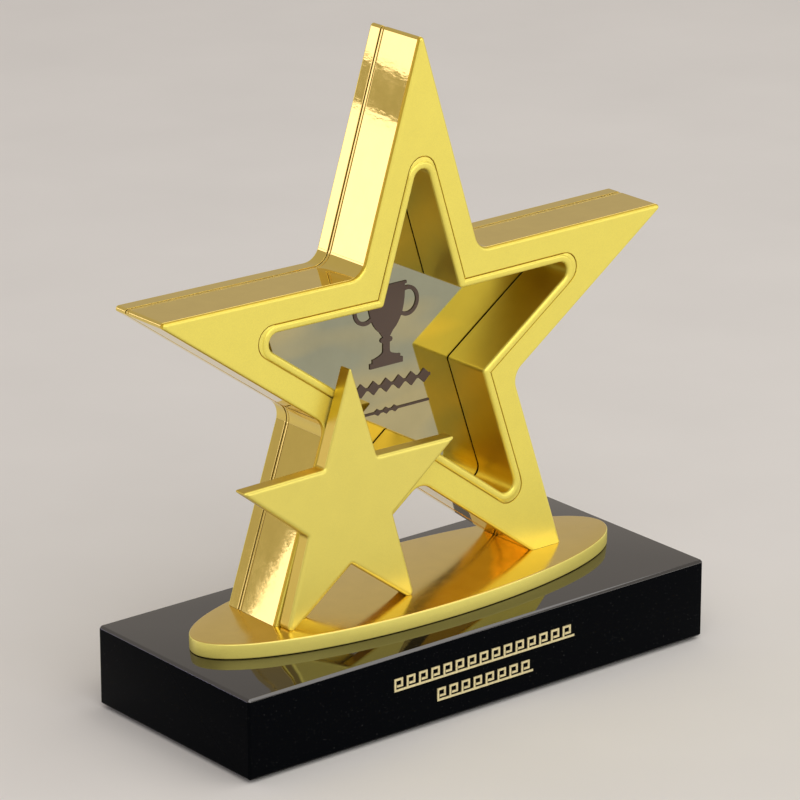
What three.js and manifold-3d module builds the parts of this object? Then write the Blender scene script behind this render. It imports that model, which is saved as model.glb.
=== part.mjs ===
// Star trophy: a hollow five-pointed star and a small solid star on an oval plate and a block base.
// Millimetres, +Z up, -Y front, origin at the middle of the underside of the base pad.
import * as THREE from "three";
import { mergeVertices } from "three/addons/utils/BufferGeometryUtils.js";
import Module from "manifold-3d";

// ---- driving dimensions ----
const BASE = { length: 181.5, width: 76, height: 26, chamfer: 0.8 };
const PAD = { inset: 4, thick: 1, corner: 3 };
const PLATE = { halfLength: 81.2, halfWidth: 25.6, thick: 5, edge: 0.5, x: -0.9 };
const STAR = { reach: 104.3, ratio: 0.373, tip: 1.0, notch: 5.8, centreZ: 104.2 };
const OPENING = { reach: 68.8, tip: 3.2, notch: 0.8 };
const FRONT = { face: -7.3, back: 9.9, round: 0.5 };
const BEAD = { width: 2.5, rise: 0.35 };
const MIRROR = { front: 10.2, back: 11.2, inset: 0.4 };
const REAR = { front: 11.5, back: 16.4, round: 0.5 };
const SMALL = {
  reach: 45.2, ratio: 0.396, arm: 0.45, foot: 1.5, notch: 1.3, round: 0.35, slim: 0.955,
  x: -31.9, z: 66, front: -12.9, back: -7.9,
};
const STAR_SCREW = { x: 49, y: 1.3, shank: 1.9, top: 43, head: 3.8, headTall: 2.6 };
const STAR_HOLE = { clear: 2.3, tapped: 2.1, top: 44, bore: 6, boreDepth: 12 };
const WASHER = { outer: 5, inner: 2.2, thick: 1 };
const REAR_SCREW = { reach: 72, shank: 1.4, head: 2.9, coneDepth: 1.5, end: 5.4 };
const REAR_HOLE = { clear: 1.8, tapped: 1.6, end: 5 };
const PIN = { radius: 1.4, hole: 1.6, front: -10.6, back: -1.6 };
const PINS = { upper: [-41.5, 67.2], lower: [-45.4, 49] };
const CUP = {
  z: 111.8, half: 8, bowlTop: 13, bowlBottom: -3, stem: 1.4, foot: 6.5, footTop: -10, bottom: -13,
  ring: { outer: 5, inner: 3.4 }, ringX: 8.2, ringZ: 6.6,
};
const LEAF = 0.3; // thickness of the emblem and ornament layers
const FIT = 0.05; // play under a layer, a head or a washer
const KEY = { height: 4.2, pitch: 4.8, stroke: 0.7 };
const UPPER_KEY = { units: 15, z: 17.2 };
const LOWER_KEY = { units: 8, z: 9.8 };
const MIRROR_ROWS = { wide: { units: 7, z: 92.5 }, slim: { half: 17, z: 84.2 } };

const baseTop = PAD.thick + BASE.height;
const plateTop = baseTop + PLATE.thick;
const FIFTH = (2 * Math.PI) / 5;
const UP = Math.PI / 2;
const ARC = 3; // curve divisions of a small arc

const wasm = await Module();
wasm.setup();

// ---- solids ----
function toSolid(geometry) {
  const bare = geometry.clone();
  bare.deleteAttribute("normal");
  bare.deleteAttribute("uv");
  const merged = mergeVertices(bare, 1e-4);
  return new wasm.Manifold(
    new wasm.Mesh({
      numProp: 3,
      vertProperties: new Float32Array(merged.attributes.position.array),
      triVerts: new Uint32Array(merged.index.array),
    }),
  );
}

function fromSolid(solid) {
  const mesh = solid.getMesh();
  const positions = new Float32Array(mesh.numVert * 3);
  for (let i = 0; i < mesh.numVert; i++) {
    const from = i * mesh.numProp;
    positions.set(mesh.vertProperties.subarray(from, from + 3), i * 3);
  }
  const geometry = new THREE.BufferGeometry();
  geometry.setAttribute("position", new THREE.BufferAttribute(positions, 3));
  geometry.setIndex(new THREE.BufferAttribute(new Uint32Array(mesh.triVerts), 1));
  geometry.computeVertexNormals();
  return geometry;
}

function cut(solid, tools) {
  return tools.reduce((left, tool) => left.subtract(tool), solid);
}

// ---- star outlines ----
// Half the angle at a tip, and half the angle outside a notch.
function starAngles(ratio) {
  const c = Math.cos(Math.PI / 5);
  const s = Math.sin(Math.PI / 5);
  const alpha = Math.atan2(ratio * s, 1 - ratio * c);
  return { alpha, gamma: alpha + Math.PI / 5 };
}

// A star with its edges moved outwards by delta.
function grown(star, delta) {
  const { alpha } = starAngles(star.ratio);
  return {
    ...star,
    reach: star.reach + delta / Math.sin(alpha),
    tip: Math.max(star.tip + delta, 0.2),
    notch: Math.max(star.notch - delta, 0.2),
  };
}

// Draws the outline with an arc at each tip and each notch; feet, if given, is the tip radius of the two lower arms.
function drawStar(path, { reach, ratio, tip: armTip, feet = armTip, notch }) {
  const { alpha, gamma } = starAngles(ratio);
  const notchCentre = reach * ratio + notch / Math.sin(gamma);
  for (let k = 0; k < 5; k++) {
    const a = UP + k * FIFTH;
    const b = a + FIFTH / 2;
    const tip = k === 2 || k === 3 ? feet : armTip;
    const tipCentre = reach - tip / Math.sin(alpha);
    const tx = tipCentre * Math.cos(a);
    const ty = tipCentre * Math.sin(a);
    const nx = notchCentre * Math.cos(b);
    const ny = notchCentre * Math.sin(b);
    path.absarc(tx, ty, tip, a - UP + alpha, a + UP - alpha, false);
    path.absarc(nx, ny, notch, a + 3 * UP - alpha, a + 1.8 * UP + alpha, true);
  }
  path.closePath();
  return path;
}

// Extrudes an x-z outline between two y positions; the edges are rounded by round.
function slab(shape, front, back, round = 0, steps = 2) {
  const geometry = new THREE.ExtrudeGeometry(shape, {
    depth: back - front - 2 * round,
    bevelEnabled: round > 0,
    bevelThickness: round,
    bevelSize: round,
    bevelOffset: -round,
    bevelSegments: steps,
    curveSegments: ARC,
  });
  geometry.rotateX(UP);
  geometry.translate(0, back - round, 0);
  return geometry;
}

function cylinderZ(radius, from, to, x = 0, y = 0, sides = 20) {
  const geometry = new THREE.CylinderGeometry(radius, radius, to - from, sides);
  geometry.rotateX(UP);
  geometry.translate(x, y, (from + to) / 2);
  return geometry;
}

function cylinderY(radius, from, to, x, z, sides = 16) {
  const geometry = new THREE.CylinderGeometry(radius, radius, to - from, sides);
  geometry.translate(x, (from + to) / 2, z);
  return geometry;
}

function box(width, depth, height, x, y, z) {
  const geometry = new THREE.BoxGeometry(width, depth, height);
  geometry.translate(x, y, z);
  return geometry;
}

// Where each arm's rear screw sits, from the top arm round to the left.
const armPlaces = [0, 1, 2, 3, 4].map((k) => {
  const a = UP + k * FIFTH;
  return [
    REAR_SCREW.reach * Math.cos(a),
    STAR.centreZ + REAR_SCREW.reach * Math.sin(a),
  ];
});

const opening = { ...OPENING, ratio: STAR.ratio };
const belowPlateTop = toSolid(box(400, 200, 100, 0, 0, plateTop + 0.05 - 50));

function ringShape(outer, inner) {
  const shape = drawStar(new THREE.Shape(), outer);
  shape.holes.push(drawStar(new THREE.Path(), inner));
  return shape;
}

function starFrameFront() {
  const body = slab(ringShape(STAR, opening), FRONT.face, FRONT.back, FRONT.round);
  const ring = ringShape(grown(opening, BEAD.width), opening);
  const bead = slab(ring, FRONT.face - BEAD.rise, FRONT.face + 4, BEAD.rise, 1);
  const up = [0, 0, STAR.centreZ];
  const whole = toSolid(body).add(toSolid(bead)).translate(up);
  const tools = [belowPlateTop];
  for (const side of [-1, 1]) {
    const x = side * STAR_SCREW.x;
    const hole = cylinderZ(STAR_HOLE.tapped, plateTop - 2, STAR_HOLE.top, x, STAR_SCREW.y, 16);
    tools.push(toSolid(hole));
  }
  for (const [x, z] of armPlaces) {
    tools.push(toSolid(cylinderY(REAR_HOLE.tapped, REAR_HOLE.end, FRONT.back + 2, x, z, 12)));
  }
  for (const [x, z] of Object.values(PINS)) {
    tools.push(toSolid(cylinderY(PIN.hole, FRONT.face - 2, PIN.back + 0.4, x, z, 12)));
  }
  return fromSolid(cut(whole, tools));
}

function starFrameRear() {
  const body = slab(ringShape(STAR, opening), REAR.front, REAR.back, REAR.round);
  const tools = [belowPlateTop];
  for (const [x, z] of armPlaces) {
    tools.push(toSolid(cylinderY(REAR_HOLE.clear, REAR.front - 2, REAR.back + 2, x, z, 12)));
    const sink = new THREE.CylinderGeometry(REAR_SCREW.head + 0.8, REAR_HOLE.clear, 2, 16);
    sink.translate(x, REAR.back - 0.9, z);
    tools.push(toSolid(sink));
  }
  return fromSolid(cut(toSolid(body).translate([0, 0, STAR.centreZ]), tools));
}

function mirrorPlate() {
  const outline = drawStar(new THREE.Shape(), grown(STAR, -MIRROR.inset));
  const body = slab(outline, MIRROR.front, MIRROR.back);
  const tools = [belowPlateTop];
  for (const [x, z] of armPlaces) {
    tools.push(toSolid(cylinderY(REAR_HOLE.clear, MIRROR.front - 2, MIRROR.back + 2, x, z, 12)));
  }
  return fromSolid(cut(toSolid(body).translate([0, 0, STAR.centreZ]), tools));
}

function smallStar() {
  const outline = drawStar(new THREE.Shape(), { ...SMALL, tip: SMALL.arm, feet: SMALL.foot });
  const body = slab(outline, SMALL.front, SMALL.back, SMALL.round);
  body.scale(SMALL.slim, 1, 1);
  const tools = [belowPlateTop];
  for (const [x, z] of Object.values(PINS)) {
    tools.push(toSolid(cylinderY(PIN.hole, PIN.front - 0.2, SMALL.back + 2, x, z, 12)));
  }
  return fromSolid(cut(toSolid(body).translate([SMALL.x, 0, SMALL.z]), tools));
}

// ---- base, pad and plate ----
function roundedRectangle(length, width, radius, steps) {
  const shape = new THREE.Shape();
  const x = length / 2 - radius;
  const y = width / 2 - radius;
  const corners = [[x, -y, -UP], [x, y, 0], [-x, y, UP], [-x, -y, 2 * UP]];
  for (const [cx, cy, from] of corners) {
    for (let i = 0; i <= steps; i++) {
      const a = from + (UP * i) / steps;
      const px = cx + radius * Math.cos(a);
      const py = cy + radius * Math.sin(a);
      if (shape.curves.length || shape.currentPoint.lengthSq() > 0) shape.lineTo(px, py);
      else shape.moveTo(px, py);
    }
  }
  shape.closePath();
  return shape;
}

function extrudeUp(shape, from, to, edge = 0) {
  const geometry = new THREE.ExtrudeGeometry(shape, {
    depth: to - from - 2 * edge,
    bevelEnabled: edge > 0,
    bevelThickness: edge,
    bevelSize: edge,
    bevelOffset: -edge,
    bevelSegments: 1,
    curveSegments: 16,
  });
  geometry.translate(0, 0, from + edge);
  return geometry;
}

function baseBlock() {
  const outline = roundedRectangle(BASE.length, BASE.width, BASE.chamfer, 1);
  const block = toSolid(extrudeUp(outline, PAD.thick, baseTop, BASE.chamfer * 0.85));
  const tools = [];
  for (const side of [-1, 1]) {
    const x = side * STAR_SCREW.x;
    const ceiling = PAD.thick + STAR_HOLE.boreDepth;
    tools.push(toSolid(cylinderZ(STAR_HOLE.clear, 0, baseTop + 2, x, STAR_SCREW.y, 16)));
    tools.push(toSolid(cylinderZ(STAR_HOLE.bore, 0, ceiling, x, STAR_SCREW.y, 24)));
  }
  return fromSolid(cut(block, tools));
}

function ovalPlate() {
  const shape = new THREE.Shape();
  shape.absellipse(0, 0, PLATE.halfLength, PLATE.halfWidth, 0, 2 * Math.PI, false);
  const plate = extrudeUp(shape, baseTop + FIT, plateTop, PLATE.edge);
  const body = toSolid(plate.translate(PLATE.x, 0, 0));
  const tools = [-1, 1].map((side) => {
    const x = side * STAR_SCREW.x;
    return toSolid(cylinderZ(STAR_HOLE.clear, baseTop - 2, plateTop + 2, x, STAR_SCREW.y, 16));
  });
  return fromSolid(cut(body, tools));
}

function basePad() {
  const length = BASE.length - 2 * PAD.inset;
  const width = BASE.width - 2 * PAD.inset;
  return extrudeUp(roundedRectangle(length, width, PAD.corner, 4), 0, PAD.thick - FIT);
}

// ---- fasteners ----
function lathe(points, sides) {
  return new THREE.LatheGeometry(points.map(([r, h]) => new THREE.Vector2(r, h)), sides);
}

// A pan-head screw standing on its head, turned to run up the Z axis.
function starScrew() {
  const seat = PAD.thick + STAR_HOLE.boreDepth - WASHER.thick - 2 * FIT;
  const { head, headTall, shank, top } = STAR_SCREW;
  const low = seat - headTall;
  const profile = [
    [0, low + 1.4], [1.6, low + 1.4], [1.6, low], [head - 0.6, low], [head, low + 0.7],
    [head, seat], [shank, seat], [shank, top - 0.8], [shank - 0.6, top], [0, top],
  ];
  const geometry = lathe(profile, 18);
  geometry.rotateX(UP);
  return geometry;
}

function washer() {
  const { outer, inner, thick } = WASHER;
  const top = PAD.thick + STAR_HOLE.boreDepth - FIT;
  const shape = new THREE.Shape();
  shape.absarc(0, 0, outer, 0, 2 * Math.PI, false);
  const hole = new THREE.Path();
  hole.absarc(0, 0, inner, 0, 2 * Math.PI, true);
  shape.holes.push(hole);
  const geometry = new THREE.ExtrudeGeometry(shape, {
    depth: thick, bevelEnabled: false, curveSegments: 10,
  });
  geometry.translate(0, 0, top - thick);
  return geometry;
}

// A countersunk screw lying along Y with its head at the back face.
function rearScrew() {
  const { head, shank, coneDepth, end } = REAR_SCREW;
  const face = REAR.back - 0.15;
  const profile = [
    [0, end], [shank - 0.5, end], [shank, end + 0.6], [shank, face - coneDepth - 0.3],
    [head, face - 0.3], [head, face], [1.1, face], [1.1, face - 1.1], [0, face - 1.1],
  ];
  return lathe(profile, 14);
}

function pin() {
  return cylinderY(PIN.radius, PIN.front, PIN.back, 0, 0, 12);
}

// ---- cup emblem and ornaments ----
// A plain two-handled cup in outline: bowl, stem and foot, with a ring for each handle.
function cup() {
  const { z, half, bowlTop, bowlBottom, stem, foot, footTop, bottom, ring, ringX, ringZ } = CUP;
  const back = MIRROR.front - FIT;
  const body = new THREE.Shape();
  body.moveTo(-foot, bottom);
  body.lineTo(foot, bottom);
  body.lineTo(foot - 1.2, footTop);
  body.lineTo(stem + 0.8, footTop);
  body.quadraticCurveTo(stem, footTop + 2, stem, bowlBottom);
  body.quadraticCurveTo(half, bowlBottom + 4, half, bowlTop);
  body.lineTo(-half, bowlTop);
  body.quadraticCurveTo(-half, bowlBottom + 4, -stem, bowlBottom);
  body.quadraticCurveTo(-stem, footTop + 2, -stem - 0.8, footTop);
  body.lineTo(-foot + 1.2, footTop);
  body.closePath();
  let whole = toSolid(slab(body, back - LEAF, back));
  for (const side of [-1, 1]) {
    const handle = new THREE.Shape();
    handle.absarc(0, 0, ring.outer, 0, 2 * Math.PI, false);
    const eye = new THREE.Path();
    eye.absarc(0, 0, ring.inner, 0, 2 * Math.PI, true);
    handle.holes.push(eye);
    const loop = toSolid(slab(handle, back - LEAF, back, 0, 2));
    whole = whole.add(loop.translate([side * ringX, 0, ringZ]));
  }
  return fromSolid(whole.translate([0, 0, z]));
}

// The outline of a strip of the given width along a path of right-angled turns.
function ribbon(points, width) {
  const sides = [1, -1].map((side) =>
    points.map(([x, y], i) => {
      const before = points[Math.max(i - 1, 0)];
      const after = points[Math.min(i + 1, points.length - 1)];
      const normals = [];
      if (i > 0) normals.push(turned(before, [x, y]));
      if (i < points.length - 1) normals.push(turned([x, y], after));
      const sum = normals.reduce((a, b) => [a[0] + b[0], a[1] + b[1]]);
      return [x + (side * sum[0] * width) / 2, y + (side * sum[1] * width) / 2];
    }),
  );
  const outline = [...sides[1], ...sides[0].reverse()];
  return new THREE.Shape(outline.map(([x, y]) => new THREE.Vector2(x, y)));
}

function turned([ax, ay], [bx, by]) {
  const length = Math.hypot(bx - ax, by - ay);
  return [(ay - by) / length, (bx - ax) / length];
}

// A row of square hooks standing on one line.
function keyBand({ units, z }, front) {
  const { height, pitch, stroke } = KEY;
  const length = units * pitch;
  const low = -height / 2 + stroke / 2;
  const high = height / 2 - stroke / 2;
  const tall = high - low;
  const line = ribbon([[-length / 2, low], [length / 2, low]], stroke);
  let row = toSolid(slab(line, front, front + LEAF));
  for (let i = 0; i < units; i++) {
    const x = -length / 2 + i * pitch + stroke / 2;
    const wide = pitch - 2.6 * stroke;
    const hook = ribbon(
      [[x, low], [x, high], [x + wide, high], [x + wide, low + tall * 0.4], [x + wide * 0.45, low + tall * 0.4]],
      stroke,
    );
    row = row.add(toSolid(slab(hook, front, front + LEAF)));
  }
  return fromSolid(row.translate([0, 0, z]));
}

// A string of lozenges joined by a thin bar.
function lozengeShape(count, pitch, height, bar, tail = 0) {
  const half = (count * pitch) / 2;
  const upper = [];
  if (tail) upper.push([-half - tail, bar / 2]);
  for (let i = 0; i < count; i++) {
    const x = -half + i * pitch;
    upper.push([x, bar / 2], [x + pitch / 2, height / 2]);
  }
  upper.push([half, bar / 2]);
  if (tail) upper.push([half + tail, bar / 2]);
  const lower = upper.map(([x, y]) => [x, -y]).reverse();
  return new THREE.Shape([...lower, ...upper].map(([x, y]) => new THREE.Vector2(x, y)));
}

function onMirror(shape, z) {
  const back = MIRROR.front - FIT;
  const geometry = slab(shape, back - LEAF, back);
  geometry.translate(0, 0, z);
  return geometry;
}

// ---- materials ----
function material(color, roughness, metalness) {
  return new THREE.MeshStandardMaterial({ color, roughness, metalness });
}
const GOLD = material(0xe3cf5e, 0.32, 1);
const SMALL_GOLD = material(0xdcc766, 0.35, 1);
const PLATE_GOLD = material(0xcaa45a, 0.2, 1);
const POLISHED = material(0xb8b08a, 0.08, 1);
const BLACK = material(0x08090a, 0.08, 0);
const FELT = material(0x15161a, 0.95, 0);
const STEEL = material(0xa9abad, 0.35, 1);
const INK = material(0x33271f, 0.5, 0);
const INLAY = material(0xe9dfae, 0.4, 1);

// ---- assembly ----
const trophy = new THREE.Group();
trophy.name = "star_trophy";

function add(name, geometry, look, x = 0, y = 0, z = 0) {
  const mesh = new THREE.Mesh(geometry, look);
  mesh.name = name;
  mesh.position.set(x, y, z);
  trophy.add(mesh);
  return mesh;
}

add("base_pad", basePad(), FELT);
add("base_block", baseBlock(), BLACK);
add("oval_plate", ovalPlate(), PLATE_GOLD);
add("front_star_frame", starFrameFront(), GOLD);
add("mirror_plate", mirrorPlate(), POLISHED);
add("rear_star_frame", starFrameRear(), GOLD);
add("small_star", smallStar(), SMALL_GOLD);

for (const [side, sign] of [["left", -1], ["right", 1]]) {
  add(`star_screw_${side}`, starScrew(), STEEL, sign * STAR_SCREW.x, STAR_SCREW.y);
  add(`star_washer_${side}`, washer(), STEEL, sign * STAR_SCREW.x, STAR_SCREW.y);
}

const ARMS = ["top_arm", "left_arm", "left_leg", "right_leg", "right_arm"];
ARMS.forEach((arm, k) => {
  const [x, z] = armPlaces[k];
  add(`rear_screw_${arm}`, rearScrew(), STEEL, x, 0, z);
});

for (const [name, [x, z]] of Object.entries(PINS)) {
  add(`small_star_pin_${name}`, pin(), STEEL, x, 0, z);
}

const front = -BASE.width / 2 - FIT - LEAF;
const wideRow = lozengeShape(MIRROR_ROWS.wide.units, 5, 4.6, 0.9);
const slimRow = lozengeShape(3, 3.4, 2.2, 0.7, MIRROR_ROWS.slim.half - 5.1);
add("mirror_cup_emblem", cup(), INK);
add("mirror_ornament_wide", onMirror(wideRow, MIRROR_ROWS.wide.z), INK);
add("mirror_ornament_slim", onMirror(slimRow, MIRROR_ROWS.slim.z), INK);
add("front_ornament_upper", keyBand(UPPER_KEY, front), INLAY);
add("front_ornament_lower", keyBand(LOWER_KEY, front), INLAY);

export default trophy;
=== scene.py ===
"""Star trophy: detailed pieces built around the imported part, laid out as an add-on and run as a script."""

import math
from contextlib import contextmanager
from functools import partial

import bmesh
import bpy
from mathutils import Matrix, Vector


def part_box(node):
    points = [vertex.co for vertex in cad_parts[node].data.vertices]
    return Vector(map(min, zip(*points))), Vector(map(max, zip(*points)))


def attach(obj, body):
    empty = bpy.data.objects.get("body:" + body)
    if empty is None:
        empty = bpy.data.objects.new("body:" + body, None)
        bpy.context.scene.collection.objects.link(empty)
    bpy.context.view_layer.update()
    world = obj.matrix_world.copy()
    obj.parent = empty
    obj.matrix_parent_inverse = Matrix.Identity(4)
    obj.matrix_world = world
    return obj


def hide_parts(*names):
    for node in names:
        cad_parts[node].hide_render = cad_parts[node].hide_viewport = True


bl_info = {
    "name": "Star Trophy",
    "version": (1, 0, 0),
    "blender": (4, 5, 0),
    "location": "3D View > Sidebar > Trophy",
    "description": "Builds a star trophy piece by piece around its packed part",
    "category": "Object",
}

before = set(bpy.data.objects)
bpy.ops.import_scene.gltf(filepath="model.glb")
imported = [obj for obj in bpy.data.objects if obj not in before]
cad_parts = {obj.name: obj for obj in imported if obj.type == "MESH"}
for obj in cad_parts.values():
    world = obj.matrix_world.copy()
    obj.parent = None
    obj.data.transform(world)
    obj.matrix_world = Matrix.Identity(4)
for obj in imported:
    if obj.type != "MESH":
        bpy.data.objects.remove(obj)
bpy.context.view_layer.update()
BOX = {node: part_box(node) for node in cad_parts}

BODY = "root"
MM = 0.001
UP = math.pi / 2
TURN = 2 * math.pi
FIFTH = TURN / 5
SHARP = math.radians(32)  # edges that turn by more than this are shaded sharp
TIP_STEPS = 8
NOTCH_STEPS = 12
LEAST_RADIUS = 0.02 * MM  # of a tip or notch that an offset has used up
EASE = 0.06 * MM  # how far a support row stands from the row it supports
MERGE = 0.0005 * MM  # points closer than this are one point
CUT_SLACK = 1e-7


# ---- settings ----
def place(name, description, default, **limits):
    """A distance, given in millimetres."""
    return bpy.props.FloatProperty(
        name=name, description=description, default=default * MM, precision=5,
        subtype="DISTANCE", unit="LENGTH", **limits,
    )


def length(name, description, default):
    return place(name, description, default, min=0.0)


def share(name, description, default):
    return bpy.props.FloatProperty(name=name, description=description, default=default, min=0.0, max=1.0)


def number(name, description, default):
    return bpy.props.IntProperty(name=name, description=description, default=default, min=1)


def colour(name, description, default):
    return bpy.props.FloatVectorProperty(
        name=name, description=description, default=default, size=3, min=0.0, max=1.0, subtype="COLOR"
    )


class TrophyStarSizes(bpy.types.PropertyGroup):
    """Sizes of the large star, its opening, its castings and the mirror plate."""

    reach: length("Reach", "Centre of the large star to the sharp end of an arm", 104.3)
    ratio: share("Notch ratio", "Notch distance as a share of the reach", 0.373)
    tip: length("Tip radius", "Radius of the blunt end of an arm", 1.0)
    notch: length("Notch radius", "Radius of the fillet between two arms", 5.8)
    centre_z: length("Centre height", "Height of the centre of the large star", 104.2)
    opening_reach: length("Opening reach", "Centre to the sharp end of the opening", 68.8)
    opening_tip: length("Opening tip radius", "Radius at the ends of the opening", 3.2)
    opening_notch: length("Opening corner radius", "Radius at the inward corners of the opening", 1.3)
    face: place("Front face", "Place of the front face of the large star", -7.3)
    edge: length("Edge rounding", "Rounding along the outer front edge", 1.0)
    mask: length("Mask line", "Width of the fine step between the front edge and the polished side", 0.3)
    back_edge: length("Back edge rounding", "Rounding along the edges of the back", 0.5)
    groove_tip: length("Groove tip", "How much sharper the groove turns at the ends than the bead", 0.55)
    seam_width: length("Seam easing width", "How far the castings ease off towards the seam", 0.3)
    seam_depth: length("Seam easing depth", "How deep the castings ease off at the seam", 0.1)
    bead: length("Bead width", "Width of the raised bead round the opening", 2.5)
    bead_rise: length("Bead rise", "How far the bead stands out of the face", 0.5)
    groove: length("Groove depth", "Depth of the groove outside the bead", 0.8)
    plate_inset: length("Mirror inset", "How far the mirror plate stays inside the castings", 0.12)


class TrophySmallStarSizes(bpy.types.PropertyGroup):
    """Sizes of the small solid star."""

    reach: length("Reach", "Centre of the small star to the sharp end of an arm", 45.2)
    ratio: share("Notch ratio", "Notch distance as a share of the reach", 0.396)
    tip: length("Tip radius", "Radius of the end of an arm", 0.45)
    foot: length("Foot radius", "Radius of the end of the two lower arms", 1.5)
    notch: length("Notch radius", "Radius of the fillet between two arms", 1.3)
    slim: share("Slimness", "Width as a share of a regular star's", 0.955)
    centre_x: place("Centre across", "Sideways place of the centre of the small star", -31.9)
    centre_z: length("Centre height", "Height of the centre of the small star", 66.0)
    edge: length("Edge rounding", "How far the front edge is rounded across the face", 1.35)
    edge_depth: length("Edge depth", "How deep the front edge is rounded", 0.85)
    back_edge: length("Back edge rounding", "Rounding along the edges of the back", 0.5)


class TrophyBaseSizes(bpy.types.PropertyGroup):
    """Sizes of the block, the pad and the oval plate."""

    chamfer: length("Chamfer", "Width of the chamfer along the edges of the block", 0.78)
    chamfer_easing: length("Chamfer easing", "Rounding along the edges of the chamfer", 0.08)
    bore: length("Screw bore", "Radius of the bores under the block", 6.0)
    bore_depth: length("Bore depth", "Depth of the bores under the block", 12.0)
    screw_x: length("Screw place", "Distance of each long screw from the middle", 49.0)
    screw_y: place("Screw depth place", "Place of the long screws from front to back", 1.3)
    shaft: length("Shaft", "Radius of the holes for the long screws", 2.3)
    plate_edge: length("Plate edge", "Rounding along the top edge of the oval plate", 0.55)
    pad_edge: length("Pad edge", "Rounding along the edges of the pad", 0.3)


class TrophyMarkSizes(bpy.types.PropertyGroup):
    """Sizes of the square-hook bands and of the lozenge rows."""

    upper_units: number("Upper hooks", "Hooks in the upper band", 15)
    lower_units: number("Lower hooks", "Hooks in the lower band", 8)
    stroke: length("Stroke", "Width of the strokes in the bands", 0.7)
    lozenges: number("Lozenges", "Lozenges in the wide row on the mirror", 7)
    pitch: length("Pitch", "Length of one lozenge in the wide row", 5.0)
    bar: length("Bar", "Height of the bar through the wide row", 0.9)
    slim_lozenges: number("Slim lozenges", "Lozenges in the slim row on the mirror", 3)
    slim_pitch: length("Slim pitch", "Length of one lozenge in the slim row", 3.4)
    slim_bar: length("Slim bar", "Height of the bar through the slim row", 0.7)


class TrophyColours(bpy.types.PropertyGroup):
    """Colours of the finishes."""

    satin: colour("Satin gold", "Satin faces of the large star", (0.97, 0.85, 0.16))
    small_satin: colour("Small star gold", "Satin face of the small star", (0.90, 0.79, 0.17))
    polished: colour("Polished gold", "Polished sides of the stars", (0.93, 0.72, 0.19))
    plate: colour("Plate gold", "Top of the oval plate", (0.92, 0.70, 0.22))
    rim: colour("Rim gold", "Rim of the oval plate", (0.97, 0.87, 0.21))
    # amber gold: a darker copy of the polished gold, painted shade on the walls inside the opening, in the groove
    # and along the front-edge step
    amber: colour("Amber gold", "Walls inside the opening", (0.81, 0.60, 0.075))
    # soft amber gold: a darker copy of the polished gold, painted shade on the sides of the small star in place of
    # the darker reflections they catch
    soft_amber: colour("Soft amber gold", "Sides of the small star", (0.72, 0.55, 0.10))
    mirror: colour("Mirror", "Polished mirror plate", (0.57, 0.50, 0.27))
    black: colour("Black", "Sides of the high-polish block", (0.0015, 0.002, 0.003))
    black_top: colour("Black top", "Top of the high-polish block", (0.003, 0.003, 0.004))
    felt: colour("Felt", "Pad under the block", (0.02, 0.02, 0.025))
    steel: colour("Steel", "Screws, washers and pins", (0.55, 0.56, 0.57))
    ink: colour("Dark print", "Print on the mirror", (0.035, 0.02, 0.015))
    leaf: colour("Gold leaf", "Bands on the front of the block", (0.92, 0.82, 0.48))


# ---- node trees ----
class Nodes:
    """A node tree that is filled in node by node."""

    def __init__(self, tree):
        self.tree = tree

    def feed(self, socket, value):
        """Links another socket to this one, or sets its value."""
        if isinstance(value, bpy.types.NodeSocket):
            self.tree.links.new(value, socket)
        else:
            socket.default_value = value

    def add(self, kind, settings=None, **sockets):
        """A node with its settings; each socket takes a link or a value, with _ for a space in its name."""
        node = self.tree.nodes.new(kind)
        for key, value in (settings or {}).items():
            setattr(node, key, value)
        for key, value in sockets.items():
            self.feed(node.inputs[key.replace("_", " ")], value)
        return node


class Coat(Nodes):
    """A finish in the making: one shader, driven by noises on object coordinates."""

    def __init__(self, name, **even):
        """The shader sockets in even are the same all over the surface."""
        self.material = bpy.data.materials.new(name)
        self.material.use_nodes = True
        super().__init__(self.material.node_tree)
        self.tree.nodes.clear()
        self.shader = self.add("ShaderNodeBsdfPrincipled", **even)
        self.add("ShaderNodeOutputMaterial", Surface=self.shader.outputs["BSDF"])

    def noise(self, scale, detail=2.0, roughness=0.5, stretch=None):
        """A noise of scale features per metre, more of them along the axes that stretch raises."""
        where = self.add("ShaderNodeTexCoord").outputs["Object"]
        if stretch:
            where = self.add("ShaderNodeMapping", Vector=where, Scale=stretch).outputs["Vector"]
        texture = self.add("ShaderNodeTexNoise", Vector=where, Scale=scale, Detail=detail, Roughness=roughness)
        return texture.outputs["Fac"]

    def spread(self, value, low, high, start=0.3, end=0.7):
        """Maps a noise from start to end onto low to high."""
        sockets = {"From Min": start, "From Max": end, "To Min": low, "To Max": high}
        return self.add("ShaderNodeMapRange", Value=value, **sockets).outputs["Result"]

    def mix(self, factor, first, second, blend="MIX"):
        settings = {"data_type": "RGBA", "blend_type": blend}
        return self.add("ShaderNodeMix", settings, Factor=factor, A=first, B=second).outputs["Result"]

    def between(self, value, first, second, start=0.3, end=0.7):
        """A colour that follows a noise from the first colour to the second."""
        return self.mix(self.spread(value, 0, 1, start, end), (*first, 1.0), (*second, 1.0))

    def mottled(self, under, value):
        """The colours under it made up to a twentieth darker or lighter along a noise."""
        return self.mix(1.0, under, self.between(value, (0.95, 0.95, 0.95), (1.05, 1.05, 1.05)), "MULTIPLY")

    def bump(self, height, distance, strength, **below):
        sockets = {"Height": height, "Distance": distance, "Strength": strength}
        return self.add("ShaderNodeBump", **sockets, **below).outputs["Normal"]

    def finished(self, **driven):
        """Drives these sockets of the shader and gives the material."""
        for key, value in driven.items():
            self.feed(self.shader.inputs[key.replace("_", " ")], value)
        return self.material


def tinted(base, factor):
    return tuple(min(1.0, channel * factor) for channel in base)


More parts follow.
